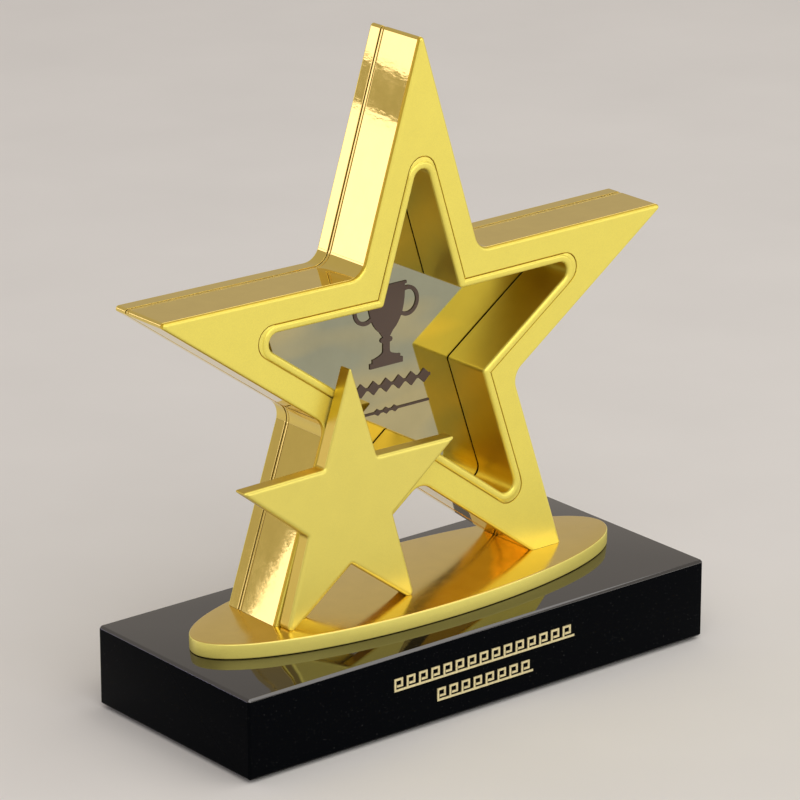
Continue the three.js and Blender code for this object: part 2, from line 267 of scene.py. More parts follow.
# ---- finishes ----
def satin_gold(name, base, metallic=0.62):
    """Fine-blasted plated metal: soft gloss, a faint cloudiness and a fine grain."""
    coat = Coat(name, Metallic=metallic)
    clouds, grain = coat.noise(140, 4, 0.6), coat.noise(4200, 2, 0.6)
    cloudy = coat.between(clouds, tinted(base, 0.985), tinted(base, 1.015))
    return coat.finished(
        Base_Color=coat.mottled(cloudy, grain),
        Roughness=coat.spread(grain, 0.33, 0.43),
        Normal=coat.bump(grain, 0.014 * MM, 0.5),
    )


def polished_gold(name, base, low=0.015, high=0.045, wave=0.006, ripple=0.005):
    """Hand-polished plated metal: roughness from low to high, slight waves and fine ripples in mm."""
    coat = Coat(name, Metallic=1.0)
    haze = coat.noise(150, 5, 0.65)
    waves = coat.noise(110, 2, 0.45, (1.0, 0.4, 1.0))
    ripples = coat.noise(760, 2, 0.5, (0.6, 0.35, 1.0))
    return coat.finished(
        Base_Color=coat.between(haze, tinted(base, 0.97), tinted(base, 1.03)),
        Roughness=coat.spread(haze, low, high),
        Normal=coat.bump(ripples, ripple * MM, 0.6, Normal=coat.bump(waves, wave * MM, 0.6)),
    )


def mirror_finish(name, base):
    """Mirror plate with broad bands of painted reflection, darker and bluer against lighter and warmer, and the
    faint cloudy patches left by wiping.
    """
    coat = Coat(name, Metallic=1.0)
    haze, bands = coat.noise(70, 5, 0.6), coat.noise(26, 2, 0.5, (0.5, 1.0, 1.6))
    # painted reflection: the bands run from a darker, bluer copy of the base to a lighter one
    cool_painted_reflection = (base[0] * 0.72, base[1] * 0.84, base[2] * 1.12)
    return coat.finished(
        Base_Color=coat.mottled(coat.between(bands, cool_painted_reflection, tinted(base, 1.03), 0.42, 0.56), haze),
        Roughness=coat.spread(haze, 0.02, 0.06),
        Normal=coat.bump(coat.noise(30, 1), 0.03 * MM, 0.3),
    )


def black_gloss(name, base, gloss=0.02, ior=1.5):
    """Thick polished black: deep, clear, with faint hairlines and a trace of dust."""
    coat = Coat(name, Specular_IOR_Level=gloss, IOR=ior)
    dust, hairlines = coat.noise(2600, 1), coat.noise(900, 3, 0.6, (1.0, 0.06, 1.0))
    return coat.finished(
        Base_Color=coat.between(dust, base, (0.10, 0.10, 0.10), 0.74, 0.8),
        Roughness=coat.spread(hairlines, 0.03, 0.07),
        Normal=coat.bump(coat.noise(45, 1), 0.02 * MM, 0.3),
    )


def grained(name, base, noise, shades, gloss=None, dents=None, **even):
    """A finish whose colour, roughness and relief all follow one noise."""
    coat = Coat(name, **even)
    grain = coat.noise(*noise)
    dark, light, *ends = shades
    driven = {"Base_Color": coat.between(grain, tinted(base, dark), tinted(base, light), *ends)}
    if gloss:
        driven["Roughness"] = coat.spread(grain, *gloss)
    if dents:
        driven["Normal"] = coat.bump(grain, *dents)
    return coat.finished(**driven)


felt = partial(
    grained, noise=(3800, 4, 0.7), shades=(0.6, 1.6), dents=(0.2 * MM, 0.8), Roughness=0.95, Sheen_Weight=0.25
)
steel = partial(grained, noise=(2500, 3, 0.6), shades=(0.85, 1.1), gloss=(0.25, 0.42), Metallic=1.0)
worn_print = partial(grained, noise=(700, 5, 0.7), shades=(1.0, 3.0, 0.35, 0.75), gloss=(0.35, 0.6))
gold_leaf = partial(
    grained, noise=(1500, 4, 0.6), shades=(0.82, 1.08), gloss=(0.35, 0.55), dents=(0.02 * MM, 0.5), Metallic=0.7
)
lacquered_rim = partial(satin_gold, metallic=0.35)  # more body colour than gloss
soft_plating = partial(polished_gold, low=0.15, high=0.22, wave=0.02, ripple=0.001)
shaded_plating = partial(polished_gold, low=0.34, high=0.42, wave=0.02, ripple=0.0005)  # duller; the darker, warmer colours it is given are painted shade
lapped_black = partial(black_gloss, gloss=0.9, ior=1.75)  # mirrors more strongly


def floor_finish(name):
    """Plain pale floor."""
    coat = Coat(name, Roughness=0.9)
    return coat.finished(Base_Color=coat.between(coat.noise(12, 3), (0.78, 0.78, 0.78), (0.81, 0.81, 0.81)))


FINISHES = {
    "satin": ("satin_gold", satin_gold),
    "small_satin": ("small_star_satin_gold", satin_gold),
    "polished": ("polished_gold", polished_gold),
    "mirror": ("mirror_plate_finish", mirror_finish),
    # both amber finishes are darker gold as painted shade
    "amber": ("amber_gold", shaded_plating),
    "soft_amber": ("soft_amber_gold", shaded_plating),
    "plate": ("plate_top_gold", soft_plating),
    "rim": ("plate_rim_gold", lacquered_rim),
    "black": ("black_gloss_sides", black_gloss),
    "black_top": ("black_gloss_top", lapped_black),
    "felt": ("felt", felt),
    "steel": ("machined_steel", steel),
    "ink": ("dark_print", worn_print),
    "leaf": ("gold_leaf", gold_leaf),
}


def finish(key):
    """The finish of that name, made on first use from the scene's colours."""
    name, make = FINISHES[key]
    return bpy.data.materials.get(name) or make(name, tuple(getattr(bpy.context.scene.trophy_colours, key)))


# ---- meshes ----
def linked(name, data):
    """A new object in the scene."""
    made = bpy.data.objects.new(name, data)
    bpy.context.scene.collection.objects.link(made)
    return made


def mesh_of(name, work):
    """A mesh with the faces of a bmesh, which is freed."""
    mesh = bpy.data.meshes.new(name)
    work.to_mesh(mesh)
    work.free()
    return mesh


def smooth_piece(name, mesh, keys):
    """A smooth-shaded piece with these finishes."""
    for key in keys:
        mesh.materials.append(finish(key))
    mesh.polygons.foreach_set("use_smooth", [True] * len(mesh.polygons))
    mesh.set_sharp_from_angle(angle=SHARP)
    mesh.update()
    return linked(name, mesh)


def piece_from(name, points, faces, keys, slots=None):
    """A piece from points and faces in the part's frame; slots gives each face's finish number."""
    mesh = bpy.data.meshes.new(name)
    mesh.from_pydata([tuple(p) for p in points], [], faces)
    piece = smooth_piece(name, mesh, keys)
    if slots:
        mesh.polygons.foreach_set("material_index", slots)
    return piece


def painted(piece, keys, number_of):
    """Gives the piece these finishes; number_of picks one for each face."""
    mesh = piece.data
    mesh.materials.clear()
    for key in keys:
        mesh.materials.append(finish(key))
    mesh.polygons.foreach_set("material_index", [number_of(face) for face in mesh.polygons])
    mesh.polygons.foreach_set("use_smooth", [True] * len(mesh.polygons))


def baked(piece):
    """Applies the modifiers of a piece to its mesh."""
    bpy.context.view_layer.update()
    evaluated = piece.evaluated_get(bpy.context.evaluated_depsgraph_get())
    mesh, old = bpy.data.meshes.new_from_object(evaluated), piece.data
    piece.modifiers.clear()
    piece.data = mesh
    if old.users == 0:
        bpy.data.meshes.remove(old)
    mesh.name = piece.name
    return piece


def on_root(piece, slot, *nodes):
    """The piece rides on the trophy and stands for these nodes, which are hidden; slot is not used."""
    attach(piece, BODY)
    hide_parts(*nodes)
    return piece


def middle_of(node):
    low, high = BOX[node]
    return (low + high) / 2


def circle(radius, sides):
    return [(radius * math.cos(TURN * i / sides), radius * math.sin(TURN * i / sides)) for i in range(sides)]


def loft(rings, closed=False):
    """Points, and faces between successive rings of equal length; closed joins the last ring to the first."""
    points = [p for ring in rings for p in ring]
    count = len(rings[0])
    faces = []
    for band in range(len(rings) if closed else len(rings) - 1):
        first, second = band * count, ((band + 1) % len(rings)) * count
        for i in range(count):
            j = (i + 1) % count
            faces.append((first + i, first + j, second + j, second + i))
    return points, faces


def fanned(points, faces, start, count, centre, flip=False):
    """Closes the ring that starts at a point number with a fan from a centre point."""
    hub = len(points)
    points.append(centre)
    for i in range(count):
        a, b = start + i, start + (i + 1) % count
        faces.append((hub, b, a) if flip else (hub, a, b))


@contextmanager
def reworked(mesh):
    """A bmesh of the mesh to change; every face is turned outwards before it goes back."""
    work = bmesh.new()
    work.from_mesh(mesh)
    yield work
    bmesh.ops.recalc_face_normals(work, faces=work.faces)
    work.to_mesh(mesh)
    work.free()


def outward(mesh):
    """Merges doubles and turns every face outwards."""
    with reworked(mesh) as work:
        bmesh.ops.remove_doubles(work, verts=work.verts, dist=MERGE)


def cut_level(mesh, height):
    """Cuts away what lies below a height and closes the cut."""
    with reworked(mesh) as work:
        everything = work.verts[:] + work.edges[:] + work.faces[:]
        bmesh.ops.bisect_plane(
            work, geom=everything, dist=CUT_SLACK,
            plane_co=(0, 0, height), plane_no=(0, 0, -1), clear_outer=True,
        )
        bmesh.ops.holes_fill(work, edges=[edge for edge in work.edges if edge.is_boundary], sides=0)


def add_faces(work, points, faces):
    made = [work.verts.new(point) for point in points]
    for face in faces:
        work.faces.new([made[i] for i in face])


def prism(name, first, second, most=4):
    """A closed mesh between two outlines of equal length; faces of over most corners become triangles."""
    points, walls = loft([first, second])
    count = len(first)
    faces = [tuple(range(count)), tuple(range(2 * count - 1, count - 1, -1)), *walls]
    work = bmesh.new()
    add_faces(work, points, faces)
    bmesh.ops.recalc_face_normals(work, faces=work.faces)
    bmesh.ops.triangulate(work, faces=[face for face in work.faces if len(face.verts) > most])
    return mesh_of(name, work)


def drill(name, places, radius, start, end, axis="Y", mouth=None):
    """A cutter for round holes at these places from start to end along an axis, widening to the mouth radius."""
    work = bmesh.new()
    turn = Matrix.Rotation(-UP, 4, "X") if axis == "Y" else Matrix.Identity(4)
    for where in places:
        centre = Vector(where)
        centre["XYZ".index(axis)] = (start + end) / 2
        bmesh.ops.create_cone(
            work, cap_ends=True, segments=HOLE_SIDES, radius1=radius, radius2=mouth or radius,
            depth=end - start, matrix=Matrix.Translation(centre) @ turn,
        )
    return linked(name, mesh_of(name, work))


def bored(piece, *cutters):
    """Subtracts each cutter from the piece and removes it."""
    for cutter in cutters:
        modifier = piece.modifiers.new("bore", "BOOLEAN")
        modifier.operation = "DIFFERENCE"
        modifier.solver = "EXACT"
        modifier.object = cutter
        baked(piece)
        mesh = cutter.data
        bpy.data.objects.remove(cutter)
        bpy.data.meshes.remove(mesh)
    piece.data.set_sharp_from_angle(angle=SHARP)
    return piece


def bevelled(piece, width, segments, limit):
    """Bevels the edges of a piece that turn by more than limit degrees."""
    modifier = piece.modifiers.new("edge", "BEVEL")
    modifier.width = width
    modifier.segments = segments
    modifier.limit_method = "ANGLE"
    modifier.angle_limit = math.radians(limit)
    return baked(piece)


# ---- holes ----
HOLE_SIDES = 48
CLEAR_RADIUS = 1.8 * MM  # rear screws, through the rear casting and the mirror plate
TAPPED_RADIUS = 1.6 * MM  # rear screws in the front casting, and the pins
TAPPED_START = 5 * MM
SINK_RADIUS, SINK_MOUTH = 1.75 * MM, 3.45 * MM
SINK_START, SINK_END = -2.1 * MM, 0.1 * MM  # from the back face
FOOT_RADIUS = 2.1 * MM  # long screws in the feet of the star
FOOT_DEPTH = 20 * MM
PIN_END = -1.2 * MM
SMALL_STAR_PIN_START = -10.8 * MM
PAST = 1 * MM  # how far a cutter reaches past a face
SHAFT_PAST = 30 * MM
ARMS = ("top_arm", "left_arm", "left_leg", "right_leg", "right_arm")


def arm_places():
    """Where the rear screws sit, one on each arm."""
    return [middle_of(f"rear_screw_{arm}") for arm in ARMS]


def pin_holes(start, end):
    places = [middle_of(name) for name in ("small_star_pin_upper", "small_star_pin_lower")]
    return drill("pin_holes", places, TAPPED_RADIUS, start, end)


def foot_places(sizes):
    """Where the two long screws come up through the base."""
    return [(side * sizes.screw_x, sizes.screw_y, 0.0) for side in (-1, 1)]


# ---- stars ----
SATIN, POLISHED, SHADED_AMBER = 0, 1, 2  # finish numbers on a casting; the third is darker amber gold, painted shade inside the opening, in the groove and along the front-edge step
SMALL_FACE, SMALL_SIDE = 0, 1  # finish numbers on the small star; the side one is soft amber gold, painted shade
SHEET_FACE, SHEET_EDGE = 0, 1  # finish numbers on the mirror
SUPPORT = 0.35 * MM  # from the end of a straight edge to its support point
MOST_SUPPORT = 0.3  # of the edge
NOTCH_TURN = 1.2 * UP
BEAD_STEPS = 7
BEAD_SHOULDER, BEAD_SLOPE, BEAD_SINK = 1.05 * MM, 0.85 * MM, 0.15 * MM
GROOVE_LIP = 0.4 * MM
GROOVE_SHOULDER = 0.2 * MM
MASK_RAMP = 0.05 * MM
SHEET_EASE = 0.15 * MM
SATIN_EDGE_ROWS = 4  # rows of the front edge that belong to the satin face; the rest take the darker amber gold as painted shade along the edge


class Star:
    """A five-pointed outline with rounded tips and notches, drawn in the x-z plane."""

    def __init__(self, reach, ratio, tip, notch, centre, foot=None, slim=1.0):
        self.reach, self.ratio, self.notch, self.centre, self.slim = reach, ratio, notch, centre, slim
        foot = tip if foot is None else foot
        self.tips = (tip, tip, foot, foot, tip)  # top, left, left foot, right foot, right
        # half the angle at a tip
        self.alpha = math.atan2(ratio * math.sin(math.pi / 5), 1 - ratio * math.cos(math.pi / 5))

    def arc(self, distance, direction, radius, start, sweep, steps):
        along, up = distance * math.cos(direction), distance * math.sin(direction)
        angles = [start + sweep * i / steps for i in range(steps + 1)]
        x, z = self.centre
        return [
            (x + self.slim * (along + radius * math.cos(a)), z + up + radius * math.sin(a)) for a in angles
        ]

    def outline(self, grow):
        """The points of the outline with its edges moved outwards by grow."""
        alpha = self.alpha
        reach = self.reach + grow / math.sin(alpha)
        notch = max(self.notch - grow, LEAST_RADIUS)
        notch_centre = reach * self.ratio + notch / math.sin(alpha + math.pi / 5)
        points = []
        for k in range(5):
            a = UP + k * FIFTH
            b = a + FIFTH / 2
            tip = max(self.tips[k] + grow, LEAST_RADIUS)
            tip_centre = reach - tip / math.sin(alpha)
            points += self.arc(tip_centre, a, tip, a - UP + alpha, math.pi - 2 * alpha, TIP_STEPS)
            points += self.arc(notch_centre, b, notch, a + 3 * UP - alpha, 2 * alpha - NOTCH_TURN, NOTCH_STEPS)
        return self.supported(points)

    def supported(self, points):
        """Adds a point near each end of every straight edge, so that the edges shade flat."""
        result = []
        for i, (x, z) in enumerate(points):
            nx, nz = points[(i + 1) % len(points)]
            result.append((x, z))
            step = i % (TIP_STEPS + NOTCH_STEPS + 2)
            if step in (TIP_STEPS, TIP_STEPS + NOTCH_STEPS + 1):
                near = min(SUPPORT / math.hypot(nx - x, nz - z), MOST_SUPPORT)
                result += [(x + (nx - x) * part, z + (nz - z) * part) for part in (near, 1 - near)]
        return result

    def ring(self, grow, y):
        return [Vector((x, y, z)) for x, z in self.outline(grow)]


def large_star(sizes):
    centre = (0.0, sizes.centre_z)
    outer = Star(sizes.reach, sizes.ratio, sizes.tip, sizes.notch, centre)
    opening = Star(sizes.opening_reach, sizes.ratio, sizes.opening_tip, sizes.opening_notch, centre)
    return outer, opening


# A row of a star solid is (star, grow, y, finish number of the band that follows it).
def eased_rows(star, y, across, along, slot, steps, to_wall=False):
    """Rows round an edge at depth y, from the wall to the face, or from the face to the wall.

    The rounding takes across from the face, negative round an opening, and along from the wall, negative at a back
    edge.
    """
    rows = []
    for i in range(steps + 1):
        a = UP * i / steps
        rows.append((star, -across * (1 - math.cos(a)), y + along * (1 - math.sin(a)), slot))
    return rows[::-1] if to_wall else rows


def turned_to(row, slot):
    """The row with another finish after it."""
    return (*row[:3], slot)


def bead_rows(sizes):
    """Rows across the bead and its groove: offset from the opening, depth from the face, finish number."""
    rise, width, depth = sizes.bead_rise, sizes.bead, sizes.groove
    turns = [UP * i / BEAD_STEPS for i in range(BEAD_STEPS + 1)]
    rows = [(BEAD_SHOULDER * (1 - math.cos(a)), BEAD_SHOULDER * (1 - math.sin(a)) - rise, SATIN) for a in turns]
    rows += [
        (width - BEAD_SLOPE + BEAD_SLOPE * math.sin(a), (rise + BEAD_SINK) * (1 - math.cos(a)) - rise, SATIN)
        for a in turns
    ]
    # the bead's last row and the groove take the darker amber gold: painted shade in the groove
    rows[-1] = (*rows[-1][:2], SHADED_AMBER)
    groove = (
        (0.05, depth, SHADED_AMBER), (0.6, depth, SHADED_AMBER), (0.75, GROOVE_SHOULDER, SATIN),
        (1.0, 0.0, SATIN), (1.3, 0.0, SATIN),
    )
    return rows + [(width + part * GROOVE_LIP, low, slot) for part, low, slot in groove]


def star_solid(name, rows, keys, lids=None, level=None):
    """A star through the rows, cut off level: closed with lids of these finish numbers, or a ring without them."""
    count = len(rows[0][0].ring(0.0, 0.0))
    points, faces = loft([star.ring(grow, y) for star, grow, y, _ in rows], lids is None)
    slots = [rows[i // count][3] for i in range(len(faces))]
    if lids:
        for lid, last in zip(lids, (False, True)):
            star, _, y, _ = rows[-1] if last else rows[0]
            start = (len(rows) - 1) * count if last else 0
            fanned(points, faces, start, count, Vector((star.centre[0], y, star.centre[1])), not last)
            slots += [lid] * count
    piece = piece_from(name, points, faces, keys, slots)
    outward(piece.data)
    cut_level(piece.data, BOX["front_star_frame"][0].z if level is None else level)
    return piece


def casting(name, sizes, seam, way, between):
    """A closed casting through the rows between its walls, eased off at the seam; way is +1 for one behind it."""
    outer, opening = large_star(sizes)
    ease, dip = way * sizes.seam_width, sizes.seam_depth
    wall = seam + ease + way * EASE
    rows = [
        # the opening wall takes the darker amber gold: painted shade inside the opening
        *eased_rows(opening, seam, -dip, ease, SHADED_AMBER, 4, to_wall=True),
        (opening, 0.0, wall, SHADED_AMBER),
        *between,
        (outer, 0.0, wall, POLISHED),
        *eased_rows(outer, seam, dip, ease, POLISHED, 6),
        (outer, -dip - EASE, seam, POLISHED),
        (opening, dip + EASE, seam, POLISHED),
    ]
    return star_solid(name, rows, ("satin", "polished", "amber"))


def front_casting(sizes):
    """The front casting: opening wall, bead, groove, face, rounded edge and sides."""
    outer, opening = large_star(sizes)
    face, edge = sizes.face, sizes.edge
    sharp_tip = sizes.opening_tip - sizes.groove_tip
    sharper = Star(sizes.opening_reach, sizes.ratio, sharp_tip, sizes.opening_notch, opening.centre)
    bead = bead_rows(sizes)
    rounded = eased_rows(outer, face, edge, edge, SATIN, 8, to_wall=True)
    step, side = 0.5 * sizes.mask, face + edge + sizes.mask
    rows = [
        (opening, 0.0, face + bead[0][1] + EASE, SATIN),
        *[(opening if grow < sizes.bead else sharper, grow, face + low, slot) for grow, low, slot in bead],
        (outer, -edge - EASE, face, SATIN),
        *rounded[:SATIN_EDGE_ROWS],
        # the wall side of the edge and the mask step take the darker amber gold: painted shade along the edge
        *[turned_to(row, SHADED_AMBER) for row in rounded[SATIN_EDGE_ROWS:]],
        (outer, -step, face + edge + MASK_RAMP, SHADED_AMBER),
        (outer, -step, side - MASK_RAMP, POLISHED),
        (outer, 0.0, side, POLISHED),
        (outer, 0.0, side + EASE, POLISHED),
    ]
    return casting("front_star_casting", sizes, BOX["front_star_frame"][1].y, -1, rows)


def rear_casting(sizes):
    """The rear casting: the same outline, rounded at the back."""
    outer, opening = large_star(sizes)
    low, high = BOX["rear_star_frame"]
    back, edge = high.y, sizes.back_edge
    rounded = eased_rows(outer, back, edge, -edge, SATIN, 5, to_wall=True)
    rows = [
        # the opening wall takes the darker amber gold: painted shade inside the opening
        (opening, 0.0, back - edge - EASE, SHADED_AMBER),
        *eased_rows(opening, back, -edge, -edge, SATIN, 5),
        (opening, edge + EASE, back, SATIN),
        (outer, -edge - EASE, back, SATIN),
        *rounded[:-1],
        turned_to(rounded[-1], POLISHED),
        (outer, 0.0, back - edge - EASE, POLISHED),
    ]
    return casting("rear_star_casting", sizes, low.y, 1, rows)


def mirror_sheet(sizes):
    """The mirror plate, with slightly eased edges."""
    outer, _ = large_star(sizes)
    low, high = BOX["mirror_plate"]
    inset, ease = -sizes.plate_inset, SHEET_EASE
    edge = [(inset - ease - EASE, 0.0), (inset - ease, 0.0), (inset - 0.3 * ease, 0.3 * ease), (inset, ease)]
    rows = [(outer, grow, low.y + rise, SHEET_EDGE) for grow, rise in edge]
    rows += [(outer, grow, high.y - rise, SHEET_EDGE) for grow, rise in reversed(edge)]
    return star_solid("mirror_sheet", rows, ("mirror", "polished"), (SHEET_FACE, SHEET_FACE))


class TROPHY_OT_large_star(bpy.types.Operator):
    """Build the two castings of the large star and the mirror plate between them"""

    bl_idname = "trophy.large_star"
    bl_label = "Large star"

    def execute(self, context):
        sizes = context.scene.trophy_star
        front, rear, mirror = front_casting(sizes), rear_casting(sizes), mirror_sheet(sizes)
        back, arms = BOX["rear_star_frame"][1].y, arm_places()
        bored(
            rear,
            drill("countersinks", arms, SINK_RADIUS, back + SINK_START, back + SINK_END, mouth=SINK_MOUTH),
            drill("through_holes", arms, CLEAR_RADIUS, 0, back + PAST),
        )
        bored(mirror, drill("plate_holes", arms, CLEAR_RADIUS, 0, back))
        feet = [middle_of(name) for name in ("star_screw_left", "star_screw_right")]
        top = BOX["star_screw_left"][1].z + PAST
        bored(
            front,
            drill("tapped_holes", arms, TAPPED_RADIUS, TAPPED_START, back),
            pin_holes(sizes.face - 2 * PAST, PIN_END),
            drill("foot_holes", feet, FOOT_RADIUS, top - FOOT_DEPTH, top, "Z"),
        )
        on_root(front, "gold", "front_star_frame")
        on_root(rear, "gold", "rear_star_frame")
        on_root(mirror, "polished_mirror", "mirror_plate")
        return {"FINISHED"}


class TROPHY_OT_small_star(bpy.types.Operator):
    """Build the small solid star with its softly rounded front edge"""

    bl_idname = "trophy.small_star"
    bl_label = "Small star"

    def execute(self, context):
        sizes = context.scene.trophy_small_star
        low, high = BOX["small_star"]
        centre = (sizes.centre_x, sizes.centre_z)
        star = Star(sizes.reach, sizes.ratio, sizes.tip, sizes.notch, centre, sizes.foot, sizes.slim)
        edge, depth, back_edge = sizes.edge, sizes.edge_depth, sizes.back_edge
        rounded = eased_rows(star, low.y, edge, depth, SMALL_FACE, 9, to_wall=True)
        rows = [
            (star, -edge - EASE, low.y, SMALL_FACE),
            *rounded[:-1],
            turned_to(rounded[-1], SMALL_SIDE),
            (star, 0.0, low.y + depth + EASE, SMALL_SIDE),
            (star, 0.0, high.y - back_edge - EASE, SMALL_SIDE),
            *eased_rows(star, high.y, back_edge, -back_edge, SMALL_SIDE, 4),
            (star, -back_edge - EASE, high.y, SMALL_SIDE),
        ]
        # the sides and back take the soft amber gold: painted shade
        keys, lids = ("small_satin", "soft_amber"), (SMALL_FACE, SMALL_SIDE)
        piece = star_solid("small_solid_star", rows, keys, lids, low.z)
        bored(piece, pin_holes(SMALL_STAR_PIN_START, high.y + PAST))
        on_root(piece, "gold", "small_star")
        return {"FINISHED"}


# ---- geometry nodes ----
class Tree(Nodes):
    """A geometry node tree with named inputs, run on one piece."""

    SOCKETS = {float: "NodeSocketFloat", int: "NodeSocketInt", Vector: "NodeSocketVector"}

    def __init__(self, name, **inputs):
        super().__init__(bpy.data.node_groups.new(name, "GeometryNodeTree"))
        self.values = inputs
        face = self.tree.interface
        face.new_socket("Geometry", in_out="INPUT", socket_type="NodeSocketGeometry")
        face.new_socket("Geometry", in_out="OUTPUT", socket_type="NodeSocketGeometry")
        for key, value in inputs.items():
            kind = self.SOCKETS.get(type(value), "NodeSocketMaterial")
            face.new_socket(key, in_out="INPUT", socket_type=kind)
        self.enter = self.add("NodeGroupInput")
        self.leave = self.add("NodeGroupOutput")

    def __getitem__(self, key):
        return self.enter.outputs[key]

    def vector(self, x=0.0, y=0.0, z=0.0):
        return self.add("ShaderNodeCombineXYZ", X=x, Y=y, Z=z).outputs[0]

    def moved(self, geometry, by, **sockets):
        """The geometry of a node, moved, and turned or scaled by the other sockets."""
        sockets = {"Geometry": geometry.outputs[0], "Translation": by, **sockets}
        return self.add("GeometryNodeTransform", **sockets)

    def joined(self, *parts):
        both = self.add("GeometryNodeJoinGeometry")
        for part in parts:
            self.tree.links.new(part.outputs[0], both.inputs[0])
        return both

    def copied(self, points, **sockets):
        """Copies of the incoming piece on the points of a node."""
        sockets = {"Points": points.outputs[0], "Instance": self["Geometry"], **sockets}
        return self.add("GeometryNodeInstanceOnPoints", **sockets)

    def run(self, last, piece):
        """Ends the tree in real geometry of one material and makes its result the piece's plain mesh."""
        real = self.add("GeometryNodeRealizeInstances", Geometry=last.outputs[0])
        named = self.add("GeometryNodeSetMaterial", Geometry=real.outputs[0], Material=self["Material"])
        self.tree.links.new(named.outputs[0], self.leave.inputs[0])
        modifier = piece.modifiers.new(self.tree.name, "NODES")
        modifier.node_group = self.tree
        for item in self.tree.interface.items_tree:
            if item.in_out == "INPUT" and item.name in self.values:
                value = self.values[item.name]
                modifier[item.identifier] = tuple(value) if isinstance(value, Vector) else value
        return baked(piece)


# ---- base, pad and plate ----
OVAL_SIDES = 192
RIM_NORMAL = 0.72  # a face of the oval plate that turns further from upright than this is rim
TOP_NORMAL = 0.3  # a face of the block that turns up by more than this is top
BLOCK_SHARP = math.radians(20)
SQUARE_EDGE, CHAMFER_EDGE = 60, 30  # angle limits in degrees


def oval_slab(piece, low, high, key):
    """Makes the piece an oval slab: a circle stretched to an oval, then raised into a solid."""
    middle, size = (low + high) / 2, high - low
    tree = Tree(
        "oval_slab", Length=size.x, Width=size.y, Thickness=size.z,
        Centre=Vector((middle.x, middle.y, low.z)), Sides=OVAL_SIDES, Material=finish(key),
    )
    disc = tree.add("GeometryNodeMeshCircle", {"fill_type": "NGON"}, Vertices=tree["Sides"], Radius=0.5)
    oval = tree.moved(disc, tree["Centre"], Scale=tree.vector(tree["Length"], tree["Width"], 1.0))
    raised = tree.add(
        "GeometryNodeExtrudeMesh", {"mode": "FACES"},
        Mesh=oval.outputs[0], Offset_Scale=tree["Thickness"], Individual=False,
    )
    under = tree.add("GeometryNodeFlipFaces", Mesh=oval.outputs[0])
    both = tree.joined(raised, under)
    closed = tree.add("GeometryNodeMergeByDistance", Geometry=both.outputs[0], Distance=0.001 * MM)
    return tree.run(closed, piece)


class TROPHY_OT_oval_plate(bpy.types.Operator):
    """Build the oval plate with its eased edges, its satin rim and its screw holes"""

    bl_idname = "trophy.oval_plate"
    bl_label = "Oval plate"

    def execute(self, context):
        sizes = context.scene.trophy_base
        low, high = BOX["oval_plate"]
        piece = linked("oval_gold_plate", bpy.data.meshes.new("oval_gold_plate"))
        oval_slab(piece, low, high, "plate")
        bevelled(piece, sizes.plate_edge, 4, SQUARE_EDGE)
        outward(piece.data)
        painted(piece, ("plate", "rim"), lambda face: int(abs(face.normal.z) < RIM_NORMAL))
        past = SHAFT_PAST / 2
        bored(piece, drill("plate_holes", foot_places(sizes), sizes.shaft, low.z - past, low.z + past, "Z"))
        on_root(piece, "plate_gold", "oval_plate")
        return {"FINISHED"}


def bevelled_block(name, node, key, *steps):
    """A block that fills a node's box, bevelled once for each (width, segments, limit)."""
    low, high = BOX[node]
    work = bmesh.new()
    matrix = Matrix.Translation((low + high) / 2) @ Matrix.Diagonal((*(high - low), 1.0))
    bmesh.ops.create_cube(work, size=1.0, matrix=matrix)
    piece = smooth_piece(name, mesh_of(name, work), [key])
    for width, segments, limit in steps:
        bevelled(piece, width, segments, limit)
    return piece


class TROPHY_OT_base(bpy.types.Operator):
    """Build the polished block with its bores and the felt pad under it"""

    bl_idname = "trophy.base"
    bl_label = "Block and pad"

    def execute(self, context):
        sizes = context.scene.trophy_base
        low, high = BOX["base_block"]
        edges = (sizes.chamfer, 1, SQUARE_EDGE), (sizes.chamfer_easing, 3, CHAMFER_EDGE)
        block = bevelled_block("polished_block", "base_block", "black", *edges)
        feet, deep = foot_places(sizes), sizes.bore_depth
        bored(
            block,
            drill("bores", feet, sizes.bore, low.z - deep, low.z + deep, "Z"),
            drill("shafts", feet, sizes.shaft, high.z - SHAFT_PAST, high.z + SHAFT_PAST, "Z"),
        )
        painted(block, ("black", "black_top"), lambda face: int(face.normal.z > TOP_NORMAL))
        block.data.set_sharp_from_angle(angle=BLOCK_SHARP)
        on_root(block, "black_gloss", "base_block")
        pad = bevelled_block("felt_pad", "base_pad", "felt", (sizes.pad_edge, 2, SQUARE_EDGE))
        on_root(pad, "felt", "base_pad")
        return {"FINISHED"}


# ---- fasteners ----
SCREW_SIDES = 40
SCREW_SHANK = 1.4 * MM
SCREW_SINK = 1.5 * MM  # height of the countersunk head
SCREW_EASE = 0.25 * MM
CROSS_DEPTH, CROSS_REACH, CROSS_ARM = 1.4 * MM, 1.65 * MM, 0.36 * MM
CROSS_ABOVE = 0.3 * MM
CROSS_TAPER = 0.55  # reach of the cross at its floor, as a share of its reach at the top
SCREW_SEED = 3


def turned(name, profile, key):
    """A solid turned about +Y from (radius, height) pairs that start and end on the axis."""
    rings = [[Vector((x, height, z)) for x, z in circle(radius, SCREW_SIDES)] for radius, height in profile[1:-1]]
    points, faces = loft(rings)
    last = (len(rings) - 1) * SCREW_SIDES
    fanned(points, faces, 0, SCREW_SIDES, Vector((0, profile[0][1], 0)), True)
    fanned(points, faces, last, SCREW_SIDES, Vector((0, profile[-1][1], 0)))
    piece = piece_from(name, points, faces, [key])
    outward(piece.data)
    return piece


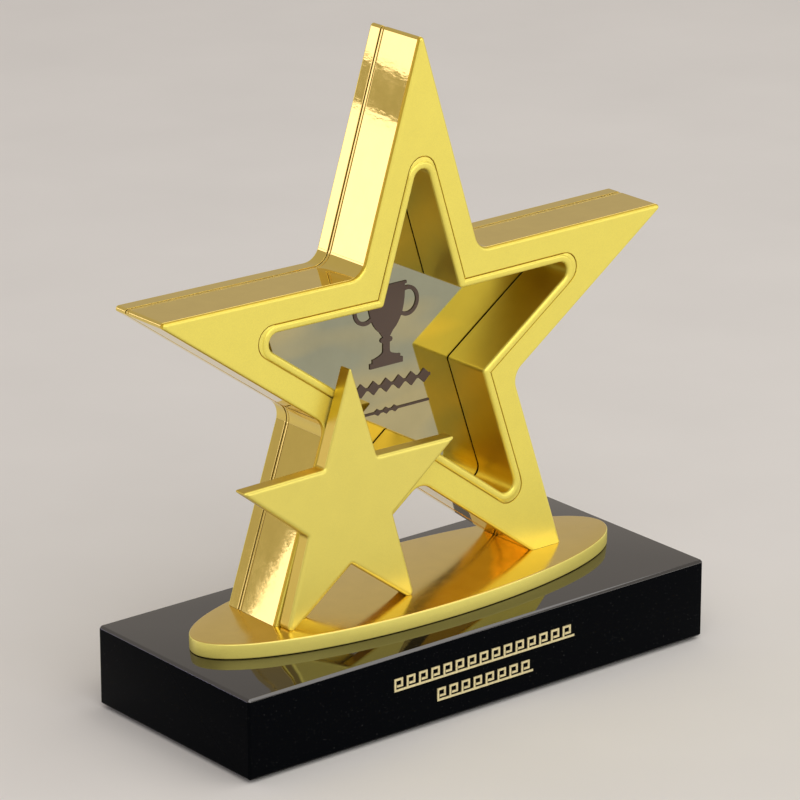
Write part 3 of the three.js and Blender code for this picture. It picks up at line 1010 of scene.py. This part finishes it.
def cross_cutter():
    """A tapered cross for a driver recess, opening towards +Y at the origin."""
    rings = []
    for y, part in ((CROSS_ABOVE, 1.0), (-CROSS_DEPTH, CROSS_TAPER)):
        reach = CROSS_REACH * part
        ring = []
        for quarter in range(4):
            c, d = math.cos(quarter * UP), math.sin(quarter * UP)
            corners_of_arm = ((reach, -CROSS_ARM), (reach, CROSS_ARM), (CROSS_ARM, CROSS_ARM))
            ring += [(c * x - d * z, y, d * x + c * z) for x, z in corners_of_arm]
        rings.append(ring)
    return linked("cross", prism("cross", *rings, most=3))


def screw_ring(piece, places, centre, key):
    """Copies the piece onto a ring through the places, each copy turned its own way about +Y."""
    first = places[0]
    reach = (Vector((first.x, centre.y, first.z)) - centre).length
    tree = Tree(
        "screw_ring", Count=len(places), Reach=reach, Centre=centre, Seed=SCREW_SEED, Material=finish(key)
    )
    ring = tree.add("GeometryNodeMeshCircle", Vertices=tree["Count"], Radius=tree["Reach"])
    upright = tree.moved(ring, tree["Centre"], Rotation=(UP, -UP, 0.0))
    spin = tree.add("FunctionNodeRandomValue", {"data_type": "FLOAT"}, Seed=tree["Seed"]).outputs[1]
    angle = tree.add("ShaderNodeMath", {"operation": "MULTIPLY"}, Value=spin)
    angle.inputs[1].default_value = TURN
    return tree.run(tree.copied(upright, Rotation=tree.vector(y=angle.outputs[0])), piece)


class TROPHY_OT_fasteners(bpy.types.Operator):
    """Build the five countersunk rear screws and finish the hidden screws, washers and pins"""

    bl_idname = "trophy.fasteners"
    bl_label = "Fasteners"

    def execute(self, context):
        places = arm_places()
        low, high = BOX["rear_screw_top_arm"]
        head, tall = (high.x - low.x) / 2, high.y - low.y
        profile = (
            (0.0, -tall),
            (SCREW_SHANK - 0.5 * MM, -tall),
            (SCREW_SHANK, 0.5 * MM - tall),
            (SCREW_SHANK, -SCREW_SINK - SCREW_EASE),
            (SCREW_SHANK + 0.2 * MM, -SCREW_SINK),
            (head, -0.35 * MM),
            (head, -0.1 * MM),
            (head - 0.12 * MM, 0.0),
            (0.0, 0.0),
        )
        screws = turned("rear_screws", profile, "steel")
        bored(screws, cross_cutter())
        middle = sum(places, Vector()) / len(places)
        screw_ring(screws, places, Vector((middle.x, high.y, context.scene.trophy_star.centre_z)), "steel")
        screws.data.set_sharp_from_angle(angle=SHARP)
        on_root(screws, "steel", *(f"rear_screw_{arm}" for arm in ARMS))
        for name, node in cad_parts.items():
            if name.startswith(("star_screw", "star_washer", "small_star_pin")):
                node.data.materials.clear()
                node.data.materials.append(finish("steel"))
        return {"FINISHED"}


# ---- marks ----
BAR_SHARE = 0.8  # thickness of a bar, as a share of the marks on it
HOOK_GAP = 2.6  # strokes from a hook's right edge line to the next hook
HOOK_DROP, HOOK_CURL = 0.4, 0.45  # where a hook ends, as shares of its height and width
CUP_HALF, CUP_TOP, CUP_FOOT = 8 * MM, 13 * MM, 6.5 * MM
CUP_LIP, CUP_STEM, CUP_BELLY = 0.9 * MM, 1.3 * MM, 16 * MM
CUP_WALL = CUP_HALF - 0.7 * MM
BOWL_STEPS, KNOT_STEPS, FLARE_STEPS = 14, 8, 6
KNOT_WIDE, KNOT_HALF, KNOT_DROP = 1.1 * MM, 0.9 * MM, 1.6 * MM
FOOT_TALL, FOOT_STEP, FLARE_TALL = 1.7 * MM, 1.2 * MM, 2.0 * MM
HANDLE_SIDES = 40
HANDLE_OUT, HANDLE_IN = 4.9 * MM, 3.6 * MM
HANDLE_X, HANDLE_Z = 8.3 * MM, 6.4 * MM
HANDLE_SLIM = 0.94
HANDLE_SINK = 0.02 * MM  # how much thinner the handles are on each side


def slab_of(name, outline, low_y, high_y, key):
    """A thin upright slab of an x-z outline between two depths."""
    rings = [[(x, y, z) for x, z in outline] for y in (low_y, high_y)]
    return smooth_piece(name, prism(name, *rings), [key])


def in_a_row(piece, node, count, pitch, start, bar_z, bar_height, key):
    """Copies the piece along +X and joins the copies by a bar as long as the node."""
    low, high = BOX[node]
    middle, size = (low + high) / 2, high - low
    tree = Tree(
        piece.name, Count=count, Pitch=pitch, Start=start,
        Bar_Middle=Vector((middle.x, middle.y, bar_z)),
        Bar_Size=Vector((size.x, BAR_SHARE * size.y, bar_height)), Material=finish(key),
    )
    offset = tree.vector(tree["Pitch"])
    row = tree.add("GeometryNodeMeshLine", Count=tree["Count"], Start_Location=tree["Start"], Offset=offset)
    bar = tree.moved(tree.add("GeometryNodeMeshCube", Size=tree["Bar_Size"]), tree["Bar_Middle"])
    return tree.run(tree.joined(tree.copied(row), bar), piece)


def stroked(path, half):
    """The outline of a square-cornered stroke of this half width along a path."""
    left, right = [], []
    for i, point in enumerate(path):
        before = point - path[i - 1] if i else None
        after = path[i + 1] - point if i < len(path) - 1 else None
        first, second = (before or after).normalized(), (after or before).normalized()
        sides = [Vector((-d.y, d.x)) for d in (first, second)]
        corner = sides[0] if sides[0] == sides[1] else sides[0] + sides[1]
        end = first * half if after is None else (second * -half if before is None else Vector((0, 0)))
        left.append(point + corner * half + end)
        right.append(point - corner * half + end)
    return left + right[::-1]


def hook_band(name, node, units, stroke):
    """A band of square hooks on a base line, filling the box of its node."""
    low, high = BOX[node]
    size, half = high - low, stroke / 2
    pitch = size.x / units
    wide, drop = pitch - HOOK_GAP * stroke, HOOK_DROP * size.z
    top = size.z - half
    path = [Vector(p) for p in ((half, half), (half, top), (wide, top), (wide, drop), (HOOK_CURL * wide, drop))]
    piece = slab_of(name, stroked(path, half), 0.0, size.y, "leaf")
    in_a_row(piece, node, units, pitch, low, low.z + half, stroke, "leaf")
    return on_root(piece, "gold_inlay", node)


def lozenge_row(name, node, units, pitch, bar):
    """A row of upright lozenges strung on a thin bar, filling the box of its node."""
    low, high = BOX[node]
    middle, reach, tall = (low + high) / 2, pitch / 2, (high.z - low.z) / 2
    outline = [(-reach, 0.0), (0.0, -tall), (reach, 0.0), (0.0, tall)]
    piece = slab_of(name, outline, low.y, high.y, "ink")
    start = Vector((middle.x - pitch * (units - 1) / 2, 0.0, middle.z))
    in_a_row(piece, node, units, pitch, start, middle.z, bar, "ink")
    return on_root(piece, "dark_print", node)


def cup_profile(low):
    """Half widths and heights of a plain cup, from its rim down to its foot at the height low."""
    rim = CUP_TOP - CUP_LIP
    rows = [(CUP_HALF, CUP_TOP), (CUP_HALF, rim), (CUP_WALL, rim)]
    for i in range(1, BOWL_STEPS):
        fall = i / BOWL_STEPS
        rows.append((max(CUP_WALL * (1 - fall**2.6) ** 0.6, CUP_STEM), rim - fall * (CUP_BELLY - CUP_LIP)))
    knot = CUP_TOP - CUP_BELLY - KNOT_DROP
    for i in range(KNOT_STEPS + 1):
        a = math.pi * i / KNOT_STEPS
        rows.append((CUP_STEM + KNOT_WIDE * math.sin(a), knot + KNOT_HALF * math.cos(a)))
    flare, flare_wide = low + FOOT_TALL + FOOT_STEP, CUP_FOOT - 1.6 * MM - CUP_STEM
    for i in range(FLARE_STEPS + 1):
        part = i / FLARE_STEPS
        rows.append((CUP_STEM + flare_wide * part**2.2, flare + FLARE_TALL * (1 - part)))
    step = CUP_FOOT - 1.0 * MM
    return rows + [(step, flare), (step, low + FOOT_TALL), (CUP_FOOT, low + FOOT_TALL), (CUP_FOOT, low)]


def cup_emblem(name, node):
    """The two-handled cup printed on the mirror."""
    low, high = BOX[node]
    x, z = (low.x + high.x) / 2, high.z - CUP_TOP
    rows = [(half, z + height) for half, height in cup_profile(low.z - z)]
    outline = [(x + half, height) for half, height in rows] + [(x - half, height) for half, height in rows[::-1]]
    piece = slab_of(name, outline, low.y, high.y, "ink")
    front, back = low.y + HANDLE_SINK, high.y - HANDLE_SINK
    corner_rings = ((HANDLE_OUT, front), (HANDLE_IN, front), (HANDLE_IN, back), (HANDLE_OUT, back))
    with reworked(piece.data) as work:
        for side in (-1, 1):
            rings = [
                [(x + side * (HANDLE_X + across * HANDLE_SLIM), y, z + HANDLE_Z + up)
                 for across, up in circle(radius, HANDLE_SIDES)]
                for radius, y in corner_rings
            ]
            add_faces(work, *loft(rings, closed=True))
    piece.data.set_sharp_from_angle(angle=SHARP)
    return on_root(piece, "dark_print", node)


class TROPHY_OT_marks(bpy.types.Operator):
    """Build the cup and the lozenge rows on the mirror and the hook bands on the block"""

    bl_idname = "trophy.marks"
    bl_label = "Marks"

    def execute(self, context):
        sizes = context.scene.trophy_marks
        cup_emblem("cup_emblem", "mirror_cup_emblem")
        lozenge_row("lozenge_row", "mirror_ornament_wide", sizes.lozenges, sizes.pitch, sizes.bar)
        lozenge_row("slim_row", "mirror_ornament_slim", sizes.slim_lozenges, sizes.slim_pitch, sizes.slim_bar)
        hook_band("upper_band", "front_ornament_upper", sizes.upper_units, sizes.stroke)
        hook_band("lower_band", "front_ornament_lower", sizes.lower_units, sizes.stroke)
        return {"FINISHED"}


# ---- stage ----
CAMERA_PLACE = (-0.8085, -0.9909, 0.5333)
CAMERA_TURN = (math.radians(90 - 19.108), 0.0, math.radians(-39.118))
CAMERA_LENS = 198.45
CAMERA_SENSOR = 36.0
CAMERA_CLIP = (0.01, 100.0)
WORLD_COLOUR = (1.0, 0.90, 0.80, 1.0)
WORLD_STRENGTH = 0.47
AIM = (0.0, 0.0, 0.1)
PANEL_DISTANCE = 2.1
PANEL_RADIANCE = 2.1
PANEL_TINT = (0.66, 0.61, 1.0)
FLOOR_HALF = 8.0
FLOOR_CELLS = 4
SOFTBOXES = (  # name, place, width, height, radiance, tint
    ("key_softbox", (-0.7, -1.9, 1.9), 3.0, 2.6, 1.35, (1.0, 0.98, 0.95)),
    ("front_right_softbox", (1.75, -2.15, 0.55), 2.0, 0.95, 1.5, (1.0, 0.97, 0.92)),
    ("top_softbox", (1.0, -0.5, 2.0), 1.6, 1.6, 1.0, (1.0, 0.98, 0.95)),
)
LEFT_PANELS = (  # name, azimuth in degrees, height above the floor, width, height
    ("left_panel_high", 131.0, 0.5925, 1.3, 0.211),
    ("left_panel_middle", 131.0, 0.3755, 1.3, 0.151),
    ("left_panel_low", 142.66, 0.07, 0.70, 0.24),
)


def softbox(name, place_at, aim_at, width, height, radiance, tint):
    """A soft rectangular light whose surface shines equally at any size."""
    data = bpy.data.lights.new(name, "AREA")
    data.shape = "RECTANGLE"
    data.size, data.size_y = width, height
    data.energy = radiance * math.pi * width * height
    data.color = tint
    light = linked(name, data)
    light.location = place_at
    light.rotation_euler = (Vector(aim_at) - Vector(place_at)).to_track_quat("-Z", "Y").to_euler()


def stage_camera(scene):
    data = bpy.data.cameras.new("camera")
    data.lens = CAMERA_LENS
    data.sensor_width = CAMERA_SENSOR
    data.clip_start, data.clip_end = CAMERA_CLIP
    camera = linked("camera", data)
    camera.location = CAMERA_PLACE
    camera.rotation_euler = CAMERA_TURN
    scene.camera = camera


class TROPHY_OT_stage(bpy.types.Operator):
    """Make the camera, the soft studio light and the plain pale floor"""

    bl_idname = "trophy.stage"
    bl_label = "Stage"

    def execute(self, context):
        scene = context.scene
        stage_camera(scene)
        world = bpy.data.worlds.new("studio")
        world.use_nodes = True
        background = world.node_tree.nodes["Background"]
        background.inputs["Color"].default_value = WORLD_COLOUR
        background.inputs["Strength"].default_value = WORLD_STRENGTH
        scene.world = world
        for name, spot, *look in SOFTBOXES:
            softbox(name, spot, AIM, *look)
        for name, azimuth, rise, width, height in LEFT_PANELS:
            a = math.radians(azimuth)
            spot = (PANEL_DISTANCE * math.cos(a), PANEL_DISTANCE * math.sin(a), rise)
            softbox(name, spot, (0.0, 0.0, rise), width, height, PANEL_RADIANCE, PANEL_TINT)
        work = bmesh.new()
        bmesh.ops.create_grid(work, x_segments=FLOOR_CELLS, y_segments=FLOOR_CELLS, size=FLOOR_HALF)
        floor = linked("pale_floor", mesh_of("pale_floor", work))
        floor.data.materials.append(floor_finish("pale_floor"))
        scene.view_settings.view_transform = "Standard"
        return {"FINISHED"}


# ---- panel and registration ----
BUILD_ORDER = ("base", "oval_plate", "large_star", "small_star", "fasteners", "marks", "stage")


class TROPHY_PT_build(bpy.types.Panel):
    """Lists the pieces of the trophy in the sidebar"""

    bl_idname = "TROPHY_PT_build"
    bl_label = "Star Trophy"
    bl_space_type = "VIEW_3D"
    bl_region_type = "UI"
    bl_category = "Trophy"

    def draw(self, context):
        for piece in BUILD_ORDER:
            self.layout.operator(f"trophy.{piece}")
        for group in PROPERTY_GROUPS:
            box = self.layout.box()
            box.label(text=group)
            settings = getattr(context.scene, group)
            for key in settings.bl_rna.properties.keys():
                if key not in ("rna_type", "name"):
                    box.prop(settings, key)


PROPERTY_GROUPS = {
    "trophy_star": TrophyStarSizes,
    "trophy_small_star": TrophySmallStarSizes,
    "trophy_base": TrophyBaseSizes,
    "trophy_marks": TrophyMarkSizes,
    "trophy_colours": TrophyColours,
}
CLASSES = (
    TROPHY_OT_base,
    TROPHY_OT_oval_plate,
    TROPHY_OT_large_star,
    TROPHY_OT_small_star,
    TROPHY_OT_fasteners,
    TROPHY_OT_marks,
    TROPHY_OT_stage,
    TROPHY_PT_build,
)


def register():
    for key, group in PROPERTY_GROUPS.items():
        bpy.utils.register_class(group)
        setattr(bpy.types.Scene, key, bpy.props.PointerProperty(type=group))
    for cls in CLASSES:
        bpy.utils.register_class(cls)


def unregister():
    for cls in reversed(CLASSES):
        bpy.utils.unregister_class(cls)
    for key, group in reversed(PROPERTY_GROUPS.items()):
        delattr(bpy.types.Scene, key)
        bpy.utils.unregister_class(group)


def main():
    register()
    for piece in BUILD_ORDER:
        getattr(bpy.ops.trophy, piece)()


if __name__ == "__main__":
    main()
